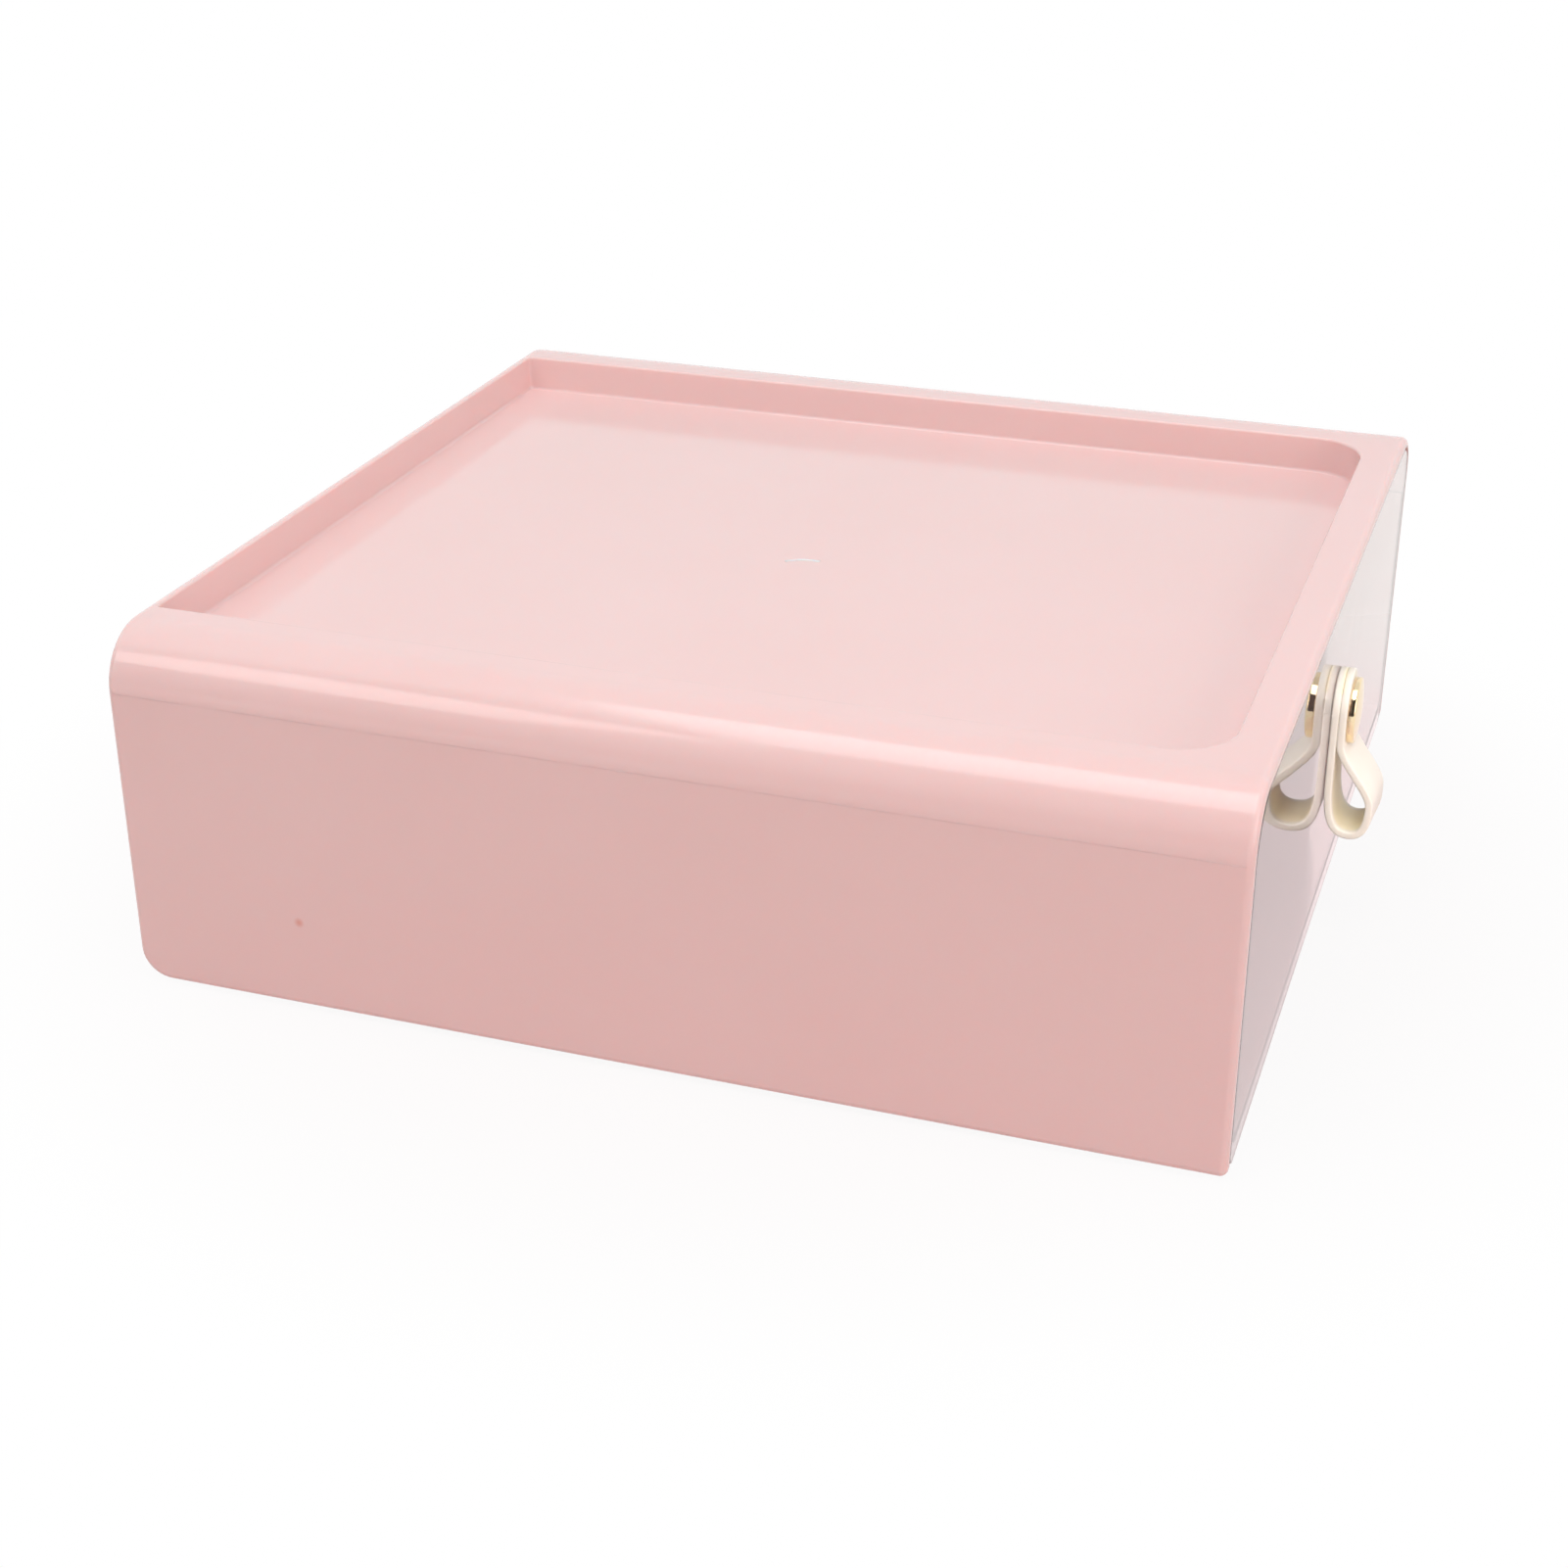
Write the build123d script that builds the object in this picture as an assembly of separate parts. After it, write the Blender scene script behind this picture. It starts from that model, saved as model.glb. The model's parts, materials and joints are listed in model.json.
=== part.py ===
from build123d import *
import math
import os

# A drawer storage box: a moulded casing with a shallow tray sunk into its top, one clear drawer that
# fills the casing's mouth, and a folded strap under a domed stud as the pull.
# Millimetres, +Z up. The drawer opens towards -Y. The origin is in the middle of the casing's underside,
# and the pads that the box stands on reach below it.

# Casing
case_width = 229.0
case_depth = 240.0
case_height = 81.0
case_wall = 2.4
top_round = 13.0
back_bottom_round = 7.0
case_edge_round = 1.7
inside_floor_round = 1.0
floor_front_gap = 0.5

# Shallow tray sunk into the casing's top
sunk_depth = 9.0
sunk_side_land = 18.5
sunk_front_land = 9.2
sunk_front_corner = 12.5
sunk_back_corner = 1.0
sunk_floor_round = 0.8
sunk_edge_round = 0.6

# Runner ribs on the casing's floor, and the bumps that stop the drawer
rib_width = 3.0
rib_height = 0.8
rib_spacing = 120.0
rib_end_gap = 8.0
bump_reach = 1.6
bump_length = 6.0
bump_height = 14.0
bump_lift = 20.0
bump_setback = 29.0

# Non-slip pads under the base
pad_radius = 6.0
pad_thickness = 2.0
pad_standout = 1.0
pad_inset = 16.0
pad_fit = 0.1
pad_edge_round = 0.5

# Drawer: front plate and tray in one moulding
plate_thickness = 3.0
plate_bow = 0.25
plate_gap = 0.3
plate_foot_gap = 0.3
plate_corner_ease = 2.0
plate_lower_round = 4.0
plate_edge_round = 0.2
drawer_wall = 2.0
drawer_floor = 2.0
drawer_side_gap = 2.4
drawer_run_gap = 0.3
drawer_back_gap = 0.4
drawer_headroom = 5.0
drawer_back_corner = 6.0
drawer_rim_round = 0.7
ear_length = 8.0
ear_gap = 0.5
ear_setback = 8.9
stop_gap = 0.3

# Strap, folded in half under the stud
strap_width = 16.0
strap_thickness = 1.7
strap_end_above = 9.4
strap_clear = 0.3
loop_reach = 10.7
loop_drop = 28.1
crotch_gap = 0.5
strap_hinge_gap = 0.3

# Stud, screw and washer
stud_height = 51.0
stud_radius = 7.4
stud_side = 1.6
stud_dome = 0.7
stud_rim_round = 0.4
stud_edge_round = 0.2
post_radius = 1.8
post_fit = 0.1
post_short = 0.4
screw_radius = 1.0
screw_fit = 0.05
screw_depth = 4.0
screw_head_radius = 1.9
screw_head_height = 1.3
screw_slot_width = 0.5
screw_slot_length = 2.2
screw_slot_depth = 0.6
washer_radius = 3.2
washer_thickness = 0.6
washer_fit = 0.15

# Places worked out from the sizes above
base_z = 0.0
top_z = base_z + case_height
floor_z = base_z + case_wall
ceiling_z = top_z - sunk_depth - case_wall
front_y = -case_depth / 2
back_y = case_depth / 2
inner_back_y = back_y - case_wall
inner_half = case_width / 2 - case_wall

sunk_half = case_width / 2 - sunk_side_land
sunk_front_y = front_y + sunk_front_land

plate_half = inner_half - plate_gap
plate_foot_z = base_z + plate_foot_gap
plate_face_y = front_y + plate_bow
plate_back_y = plate_face_y + plate_thickness
bow_radius = (plate_half ** 2 + plate_bow ** 2) / (2 * plate_bow)
floor_front_y = plate_back_y + floor_front_gap
tray_front_y = front_y + plate_thickness / 2
drawer_half = inner_half - drawer_side_gap
drawer_back_y = inner_back_y - drawer_back_gap
drawer_z = floor_z + rib_height + drawer_run_gap
drawer_lower_round = back_bottom_round - case_wall
drawer_top_z = ceiling_z - drawer_headroom
ear_back_y = drawer_back_y - ear_setback
ear_front_y = ear_back_y - ear_length
bump_front_y = front_y + bump_setback
bump_back_y = bump_front_y + bump_length
drawer_travel = ear_front_y - bump_back_y - stop_gap

stud_z = base_z + stud_height
strap_seat_y = plate_face_y - bow_radius + math.sqrt(bow_radius ** 2 - strap_width ** 2 / 4)
strap_stack = 2 * strap_thickness
fixed_end_z = stud_z - stud_radius - strap_hinge_gap
hinge_z = fixed_end_z - strap_hinge_gap - strap_thickness
hinge_out = strap_clear + strap_thickness
loop_bottom_z = stud_z - loop_drop

# How far a cut runs past the face that it opens
overcut = 1.0
centred_on_floor = (Align.CENTER, Align.CENTER, Align.MIN)
hung_from_top = (Align.CENTER, Align.MAX)


def cross_section(width, height, upper_round, lower_round):
    """Cross-section of the casing or what fits in its mouth: wide rounds above, small ones below."""
    outline = Rectangle(width, height, align=(Align.CENTER, Align.MIN))
    outline = fillet(outline.vertices().group_by(Axis.Y)[-1], upper_round)
    if lower_round > 0:
        outline = fillet(outline.vertices().group_by(Axis.Y)[0], lower_round)
    return outline


def facing_front(y, z):
    """A plane that faces the front, its origin on the box's middle plane."""
    return Plane((0, y, z), x_dir=(1, 0, 0), z_dir=(0, -1, 0))


def block(x_range, y_range, z_range):
    """A plain block between two corners."""
    size = [high - low for low, high in (x_range, y_range, z_range)]
    middle = [(high + low) / 2 for low, high in (x_range, y_range, z_range)]
    return Pos(*middle) * Box(*size)


def sunk_outline(half_width, y_range, front_corner):
    """Plan of the sunk tray or of the well around it, with its two front corners rounded."""
    front, back = y_range
    outline = Rectangle(2 * half_width, back - front, align=(Align.CENTER, Align.MIN))
    outline = fillet(outline.vertices().group_by(Axis.Y)[0], front_corner)
    return Pos(0, front) * outline


def side_view(depth, height, back_round):
    """Outline seen from the side: back to the left, with its lower back corner rounded."""
    outline = Rectangle(depth, height, align=(Align.CENTER, Align.MIN))
    return fillet(outline.vertices().sort_by(Axis.Y)[:2].sort_by(Axis.X)[0], back_round)


def seen_from_side(y, z):
    """A plane that faces the left, with its own X towards the front."""
    return Plane((0, y, z), x_dir=(0, -1, 0), z_dir=(-1, 0, 0))


def case_outside():
    """The casing's outer form: its cross-section run from back to front, met by its side view.

    One round eases the edge all round the mouth and the two long edges below.
    """
    section = cross_section(case_width, case_height, top_round, 0)
    body = extrude(facing_front(back_y, base_z) * section, case_depth)
    outline = side_view(case_depth, case_height, back_bottom_round)
    body &= extrude(seen_from_side(0, base_z) * outline, case_width / 2, both=True)
    long_edges = body.edges().filter_by(Axis.Y).group_by(Axis.Z)[0]
    mouth_edges = body.faces().sort_by(Axis.Y)[0].edges()
    return fillet(long_edges + mouth_edges, case_edge_round)


def case_inside():
    """The hollow that the drawer runs in, open at the mouth."""
    height = case_height - 2 * case_wall
    section = cross_section(2 * inner_half, height, top_round - case_wall, inside_floor_round)
    hollow = extrude(facing_front(inner_back_y, floor_z) * section, case_depth)
    outline = side_view(case_depth, height, back_bottom_round - case_wall)
    return hollow & extrude(seen_from_side(-case_wall, floor_z) * outline, case_width / 2, both=True)


def floor_notch():
    """The floor stops behind the front plate, whose lower edge shows, and keeps a round at each end."""
    height = case_wall + plate_lower_round + 2 * overcut
    outline = Rectangle(2 * inner_half, height, align=(Align.CENTER, Align.MIN))
    outline = fillet(outline.vertices().group_by(Axis.Y)[0], plate_lower_round)
    return extrude(facing_front(floor_front_y, base_z - overcut) * outline, floor_front_y - front_y + overcut)


def pad_places():
    """Each pad's name with its place under the base."""
    pad_x = case_width / 2 - pad_inset
    pad_y = case_depth / 2 - pad_inset
    return {
        "foot_pad_front_left": (-pad_x, -pad_y),
        "foot_pad_front_right": (pad_x, -pad_y),
        "foot_pad_back_left": (-pad_x, pad_y),
        "foot_pad_back_right": (pad_x, pad_y),
    }


def sunk_well():
    """The walls and floor that hang from the top around the sunk tray, before it is hollowed."""
    y_range = (sunk_front_y - case_wall, back_y - case_wall / 2)
    outline = sunk_outline(sunk_half + case_wall, y_range, sunk_front_corner + case_wall)
    return Pos(0, 0, ceiling_z) * extrude(outline, sunk_depth + case_wall / 2)


def sunk_hollow():
    """The space inside the sunk tray."""
    outline = sunk_outline(sunk_half, (sunk_front_y, inner_back_y), sunk_front_corner)
    hollow = Pos(0, 0, top_z - sunk_depth) * extrude(outline, sunk_depth + overcut)
    hollow = fillet(hollow.edges().filter_by(Axis.Z).group_by(Axis.Y)[-1], sunk_back_corner)
    return fillet(hollow.faces().sort_by(Axis.Z)[0].edges(), sunk_floor_round)


def make_casing():
    """The casing: a shell with the sunk tray in its top, runner ribs, stop bumps and pad pockets."""
    shell = case_outside() - case_inside() - floor_notch() + sunk_well()
    hollow = sunk_hollow()
    casing = shell - hollow
    lip = new_edges(shell, hollow, combined=casing).group_by(Axis.Z)[-1]
    casing = fillet(lip, sunk_edge_round)

    rib_y = (sunk_front_y + rib_end_gap, inner_back_y - rib_end_gap)
    rib_z = (floor_z - rib_height, floor_z + rib_height)
    bump_y = (bump_front_y, bump_back_y)
    bump_z = (floor_z + bump_lift, floor_z + bump_lift + bump_height)
    for side in (-1, 1):
        rib_x = side * rib_spacing / 2
        casing += block((rib_x - rib_width / 2, rib_x + rib_width / 2), rib_y, rib_z)
        bump_x = sorted((side * (inner_half - bump_reach), side * (inner_half + case_wall / 2)))
        casing += block(bump_x, bump_y, bump_z)
    pad_pocket = Cylinder(pad_radius + pad_fit, pad_thickness - pad_standout, align=centred_on_floor)
    for x, y in pad_places().values():
        casing -= Pos(x, y, base_z) * pad_pocket
    return casing


def make_foot_pad(x, y):
    """One non-slip pad, eased along its lower edge."""
    pad = Cylinder(pad_radius, pad_thickness, align=centred_on_floor)
    pad = fillet(pad.edges().group_by(Axis.Z)[0], pad_edge_round)
    return Pos(x, y, base_z - pad_standout) * pad


def make_front_plate():
    """The drawer's front plate: the outline that fits the mouth, met by a wide ring that bows it back."""
    height = top_z - case_wall - plate_gap - plate_foot_z
    upper_round = top_round - case_wall - plate_gap + plate_corner_ease
    section = cross_section(2 * plate_half, height, upper_round, plate_lower_round)
    plate = extrude(facing_front(plate_back_y, plate_foot_z) * section, plate_thickness + plate_bow)
    ring = Cylinder(bow_radius + plate_thickness, case_height, align=centred_on_floor)
    ring -= Cylinder(bow_radius, case_height, align=centred_on_floor)
    plate &= Pos(0, plate_face_y - bow_radius, base_z) * ring
    face = plate.faces().sort_by_distance((0, plate_face_y, stud_z))[0]
    return fillet(face.edges(), plate_edge_round)


def make_drawer():
    """The drawer: front plate, open tray behind it, guide ears near its back and the stud's hole."""
    height = (drawer_z, drawer_top_z)
    tray = block((-drawer_half, drawer_half), (tray_front_y, drawer_back_y), height)
    tray = fillet(tray.edges().filter_by(Axis.Z).group_by(Axis.Y)[-1], drawer_back_corner)
    tray = fillet(tray.edges().filter_by(Axis.Y).group_by(Axis.Z)[0], drawer_lower_round)
    inner = drawer_half - drawer_wall
    hollow_z = (drawer_z + drawer_floor, top_z)
    hollow = block((-inner, inner), (tray_front_y, drawer_back_y - drawer_wall), hollow_z)
    hollow = fillet(hollow.edges().filter_by(Axis.Z).group_by(Axis.Y)[-1], drawer_back_corner - drawer_wall)
    hollow = fillet(hollow.edges().filter_by(Axis.Y).group_by(Axis.Z)[0], drawer_lower_round - drawer_wall)
    tray -= hollow
    rim = tray.faces().sort_by(Axis.Z)[-1].edges().filter_by(Axis.Y)
    tray = fillet(rim, drawer_rim_round)

    drawer = make_front_plate() + tray
    ear_z = (drawer_z + drawer_lower_round, drawer_top_z - drawer_rim_round)
    for side in (-1, 1):
        ear_x = sorted((side * (drawer_half - drawer_wall / 2), side * (inner_half - ear_gap)))
        drawer += block(ear_x, (ear_front_y, ear_back_y), ear_z)
    hole = Cylinder(post_radius + post_fit, plate_thickness + 2 * overcut)
    return drawer - facing_front(plate_face_y + plate_thickness / 2, stud_z) * hole


def make_strap_fixed_end():
    """Both ends of the strap, one on the other, round at the top and clamped by the stud."""
    below = Rectangle(2 * strap_width, strap_width, align=hung_from_top)
    ends = Circle(strap_width / 2) + Rectangle(strap_width, strap_width, align=hung_from_top)
    ends = Pos(0, strap_end_above - strap_width / 2) * ends
    ends -= Pos(0, fixed_end_z - stud_z) * below
    ends -= Circle(post_radius + post_fit)
    return extrude(facing_front(strap_seat_y, stud_z) * ends, strap_stack)


def make_strap_loop():
    """The hanging loop: inner leg along the plate, a round bottom, and an outer leg that swells away."""
    half_thick = strap_thickness / 2
    inner_face = strap_clear + strap_thickness
    outer_face = strap_clear + loop_reach
    bottom_radius = loop_reach / 2
    bottom_z = loop_bottom_z + bottom_radius
    bottom_out = strap_clear + bottom_radius
    sway = loop_reach - strap_stack
    rise = hinge_z - bottom_z
    bend = (sway ** 2 + rise ** 2) / (4 * sway)
    turn = math.degrees(math.asin(rise / 2 / bend))
    low_centre = (outer_face - half_thick - bend, bottom_z)
    high_centre = (inner_face + half_thick + bend, hinge_z)
    crotch_turn = math.degrees(math.acos(1 - crotch_gap / (bend + half_thick)))

    outside = [
        Line((strap_clear, hinge_z), (strap_clear, bottom_z)),
        CenterArc((bottom_out, bottom_z), bottom_radius, 180, 180),
        CenterArc(low_centre, bend + half_thick, 0, turn),
        CenterArc(high_centre, bend - half_thick, 180, turn),
        CenterArc((hinge_out, hinge_z), strap_thickness, 0, 180),
    ]
    inner_high = CenterArc(high_centre, bend + half_thick, 180 + crotch_turn, turn - crotch_turn)
    crotch_z = inner_high.start_point().Y
    inside = [
        inner_high,
        CenterArc(low_centre, bend - half_thick, 0, turn),
        CenterArc((bottom_out, bottom_z), bottom_radius - strap_thickness, 180, 180),
        Line((inner_face, bottom_z), (inner_face, crotch_z)),
        Line((inner_face, crotch_z), inner_high.start_point()),
    ]
    loop = make_face(outside) - make_face(inside)
    return extrude(seen_from_side(strap_seat_y, 0) * loop, strap_width / 2, both=True)


def make_stud():
    """The domed stud: its head bears on the strap, and its tapped post goes through strap and plate."""
    rise = stud_side + stud_dome
    dome_radius = (stud_radius ** 2 + stud_dome ** 2) / (2 * stud_dome)
    head = Cylinder(stud_radius, rise, align=centred_on_floor)
    head &= Pos(0, 0, rise - dome_radius) * Sphere(dome_radius)
    head = fillet(head.edges().group_by(Axis.Z)[0], stud_edge_round)
    rim = head.edges().filter_by(lambda edge: edge.is_closed).group_by(Axis.Z)[-1]
    head = fillet(rim, stud_rim_round)
    post_length = strap_stack + plate_thickness - post_short
    post = Cylinder(post_radius, post_length, align=centred_on_floor)
    post -= Cylinder(screw_radius + screw_fit, screw_depth + screw_fit, align=centred_on_floor)
    return facing_front(strap_seat_y - strap_stack, stud_z) * (head + Pos(0, 0, -post_length) * post)


def make_stud_washer():
    """Flat washer on the inside of the plate."""
    ring = Cylinder(washer_radius, washer_thickness) - Cylinder(screw_radius + washer_fit, washer_thickness)
    return facing_front(plate_back_y + washer_thickness / 2, stud_z) * ring


def make_stud_screw():
    """Pan-head screw with a cross slot, from inside the drawer into the stud's post."""
    reach = washer_thickness + post_short + screw_depth - screw_fit
    shank = Cylinder(screw_radius, reach, align=centred_on_floor)
    head = Cylinder(screw_head_radius, screw_head_height, align=centred_on_floor)
    head = fillet(head.edges().group_by(Axis.Z)[0], screw_head_height / 2)
    head -= Box(screw_slot_length, screw_slot_width, 2 * screw_slot_depth)
    head -= Box(screw_slot_width, screw_slot_length, 2 * screw_slot_depth)
    screw = shank + Pos(0, 0, -screw_head_height) * head
    return facing_front(plate_back_y + washer_thickness, stud_z) * screw


pieces = {
    "casing": make_casing(),
    "drawer": make_drawer(),
    "strap_fixed_end": make_strap_fixed_end(),
    "strap_loop": make_strap_loop(),
    "stud": make_stud(),
    "stud_washer": make_stud_washer(),
    "stud_screw": make_stud_screw(),
}
for name, (x, y) in pad_places().items():
    pieces[name] = make_foot_pad(x, y)

os.makedirs("parts", exist_ok=True)
for name, piece in pieces.items():
    export_step(piece, f"parts/{name}.step")
    print(name, round(piece.volume, 1))
print("drawer travel", round(drawer_travel, 3), "strap turns about", (strap_seat_y - hinge_out, hinge_z))
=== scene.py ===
# %% [markdown]
# A drawer storage box: a low pink moulded casing with a shallow tray sunk into its top, a clear drawer
# that fills its mouth, and a folded cream strap under a gold stud as the pull. This lesson takes the
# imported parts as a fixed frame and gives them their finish, then models the pieces whose form is softer
# or finer than a machined solid: the strap, the stud's head and the marks that the mould leaves.

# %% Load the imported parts
import json
import math

import bmesh
import bpy
from mathutils import Matrix, Vector
from mathutils.geometry import interpolate_bezier


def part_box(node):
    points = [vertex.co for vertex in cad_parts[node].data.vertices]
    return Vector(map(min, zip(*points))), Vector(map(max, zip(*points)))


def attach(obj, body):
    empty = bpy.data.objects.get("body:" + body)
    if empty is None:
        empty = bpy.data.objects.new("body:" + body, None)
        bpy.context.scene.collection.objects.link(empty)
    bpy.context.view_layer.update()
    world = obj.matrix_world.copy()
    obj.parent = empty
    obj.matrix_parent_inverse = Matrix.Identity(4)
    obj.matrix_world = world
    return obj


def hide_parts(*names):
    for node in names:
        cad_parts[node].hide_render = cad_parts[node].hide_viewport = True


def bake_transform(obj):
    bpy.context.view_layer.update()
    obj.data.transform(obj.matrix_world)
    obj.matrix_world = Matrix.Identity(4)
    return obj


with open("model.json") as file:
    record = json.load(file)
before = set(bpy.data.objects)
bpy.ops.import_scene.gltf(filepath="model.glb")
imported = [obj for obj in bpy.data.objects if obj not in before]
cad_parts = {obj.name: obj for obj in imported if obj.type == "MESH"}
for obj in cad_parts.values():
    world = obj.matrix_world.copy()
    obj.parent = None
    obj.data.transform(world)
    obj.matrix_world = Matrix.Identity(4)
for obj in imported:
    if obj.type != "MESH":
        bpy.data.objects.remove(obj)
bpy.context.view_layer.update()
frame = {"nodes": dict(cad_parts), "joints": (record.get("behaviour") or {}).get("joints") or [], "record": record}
nodes = frame["nodes"]

# %% [markdown]
# Every size below is in metres, as Blender's units are, and most are read from the frame, so that a new
# piece lands where the solids are. The drawer's front plate faces -Y, and the strap hangs on its face.

# %% Places read from the frame
MM = 0.001


def named(rows, name):
    """The row of a list in the frame that has the given name."""
    return next(row for row in rows if row["name"] == name)


casing_low, casing_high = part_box("casing")
drawer_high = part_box("drawer")[1]
stud_low, stud_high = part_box("stud")
stud_z = ((stud_low + stud_high) / 2).z
stud_radius = (stud_high.x - stud_low.x) / 2
strap_low, strap_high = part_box("strap_fixed_end")
plate_face_y = strap_high.y
strap_width = strap_high.x - strap_low.x
strap_stack = strap_high.y - strap_low.y
hinge_place = Vector(named(frame["joints"], "strap_lift")["pos_m"])
sunk_floor_z = named(frame["record"]["mounts"], "sunk_tray_floor")["pos_m"][2]
print("plate face at", round(plate_face_y / MM, 2), "mm, stud at", round(stud_z / MM, 2), "mm")
print("the strap turns about", tuple(hinge_place))

# %% [markdown]
# A material in Blender is a small net of nodes. These helpers start one with its main shader, and add what
# nearly every finish here needs: coordinates fixed to the object, and numbers and colours that are mixed.

# %% Helpers for materials
def start_finish(name, settings):
    """A new material with its main shader, whose even values are set on the shader's own sockets."""
    finish = bpy.data.materials.new(name)
    finish.use_nodes = True
    shader = finish.node_tree.nodes["Principled BSDF"]
    for socket, value in settings.items():
        shader.inputs[socket].default_value = value
    return finish, finish.node_tree, shader


def add_node(tree, kind, settings=None, **links):
    """A node with its socket values, and its inputs linked to the given outputs."""
    node = tree.nodes.new(kind)
    for socket, value in (settings or {}).items():
        node.inputs[socket].default_value = value
    for socket, output in links.items():
        tree.links.new(output, node.inputs[socket.replace("_", " ")])
    return node


def object_place(tree):
    """Coordinates fixed to the object, in metres."""
    return tree.nodes.new("ShaderNodeTexCoord").outputs["Object"]


def across_object(tree):
    """How far to the right of the middle a point lies, in metres."""
    return add_node(tree, "ShaderNodeSeparateXYZ", Vector=object_place(tree)).outputs["X"]


def distance_from(tree, place):
    """How far a point lies from a place, in metres."""
    node = add_node(tree, "ShaderNodeVectorMath", {1: place})
    node.operation = "DISTANCE"
    tree.links.new(object_place(tree), node.inputs[0])
    return node.outputs["Value"]


def worked(tree, operation, *values):
    """A number worked out from others by one operation."""
    node = tree.nodes.new("ShaderNodeMath")
    node.operation = operation
    for value, socket in zip(values, node.inputs):
        tree.links.new(value, socket)
    return node.outputs["Value"]


def spread(tree, value, low, high, start=0.3, end=0.7, soft=False):
    """The value between start and end, spread from low to high, with soft ends if asked."""
    settings = {"From Min": start, "From Max": end, "To Min": low, "To Max": high}
    node = add_node(tree, "ShaderNodeMapRange", settings, Value=value)
    if soft:
        node.interpolation_type = "SMOOTHSTEP"
    return node.outputs["Result"]


def between(tree, amount, first, second):
    """A colour between two, by the amount. The first may be the output of another mix."""
    mix = tree.nodes.new("ShaderNodeMix")
    mix.data_type = "RGBA"
    if isinstance(first, bpy.types.NodeSocket):
        tree.links.new(first, mix.inputs["A"])
    else:
        mix.inputs["A"].default_value = (*first, 1)
    mix.inputs["B"].default_value = (*second, 1)
    tree.links.new(amount, mix.inputs["Factor"])
    return mix.outputs["Result"]


def mixed(tree, amount, first, second):
    """The second shader over the first, by the amount."""
    mix = tree.nodes.new("ShaderNodeMixShader")
    for value, socket in zip((amount, first, second), mix.inputs):
        tree.links.new(value, socket)
    return mix.outputs["Shader"]


# %% [markdown]
# No real surface is quite even. The next helpers spread soft noise over a finish: in its colour, in its
# gloss and, as fine relief, in its shape. The sizes are those of the lumps, in metres.

# %% Helpers for unevenness
def uneven(tree, size, detail=3.0):
    """Soft noise whose lumps are about the given size."""
    settings = {"Scale": 1 / size, "Detail": detail, "Roughness": 0.55}
    return add_node(tree, "ShaderNodeTexNoise", settings, Vector=object_place(tree)).outputs["Fac"]


def uneven_colour(tree, first, second, size):
    """A colour that drifts between two."""
    return between(tree, spread(tree, uneven(tree, size), 0, 1), first, second)


def uneven_gloss(tree, shader, size, low, high):
    """A roughness that drifts between low and high."""
    tree.links.new(spread(tree, uneven(tree, size), low, high), shader.inputs["Roughness"])


def relief(tree, shader, height, depth, strength=1.0):
    """Fine relief of the given depth, on top of any relief that the shader already has."""
    node = add_node(tree, "ShaderNodeBump", {"Strength": strength, "Distance": depth}, Height=height)
    for link in shader.inputs["Normal"].links:
        tree.links.new(link.from_socket, node.inputs["Normal"])
    tree.links.new(node.outputs["Normal"], shader.inputs["Normal"])


# %% [markdown]
# The casing is injection-moulded in an opaque pale pink plastic with a satin gloss. Such plastic lets a
# little light in, so its edges look soft and warm: that is the subsurface part. The colour drifts slightly
# with the flow of the melt, one small red fleck lies in the near side, and the gloss is a little uneven.
# A flat colour would look like paint.

# %% Pink moulded plastic
PINK = (0.905, 0.653, 0.635)
PINK_WARM = (0.900, 0.638, 0.617)
FLECK_RED = (0.820, 0.420, 0.360)
FLECK_PLACE = (casing_low.x, 79.3 * MM, 20.7 * MM)
FLECK_RADIUS = 1.3 * MM
FLECK_CORE = 0.2 * FLECK_RADIUS


def pink_plastic():
    finish, tree, shader = start_finish("pink_plastic", {
        "IOR": 1.5,
        "Subsurface Weight": 0.45,
        "Subsurface Radius": (1.0, 0.48, 0.40),
        "Subsurface Scale": 2.2 * MM,
    })
    flow = uneven_colour(tree, PINK, PINK_WARM, size=60 * MM)
    fleck = spread(tree, distance_from(tree, FLECK_PLACE), 1, 0, FLECK_CORE, FLECK_RADIUS)
    tree.links.new(between(tree, fleck, flow, FLECK_RED), shader.inputs["Base Color"])
    uneven_gloss(tree, shader, size=9 * MM, low=0.11, high=0.15)
    relief(tree, shader, uneven(tree, size=0.9 * MM, detail=2.0), depth=0.004 * MM)
    return finish


pink = pink_plastic()
print("made", pink.name)

# %% [markdown]
# The drawer is one clear moulding. Clear plastic is a closed solid that bends light, so it is full
# transmission with the plastic's own index, and its mirror image at a flat angle comes by itself. Lamps
# can't shine through bent light easily, so for shadow rays alone the shader is plain see-through, which
# lets the light into the casing as the real plastic does. A moulded plate also warps by a fraction of a
# millimetre: its ends come forward, which is far too little to see but stretches what it mirrors.

# %% Clear moulded plastic
CLEAR_TINT = (0.995, 0.984, 0.981)
CLEAR_SHADOW = (0.99, 0.982, 0.978)
PLATE_WARP = 0.7 * MM


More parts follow.
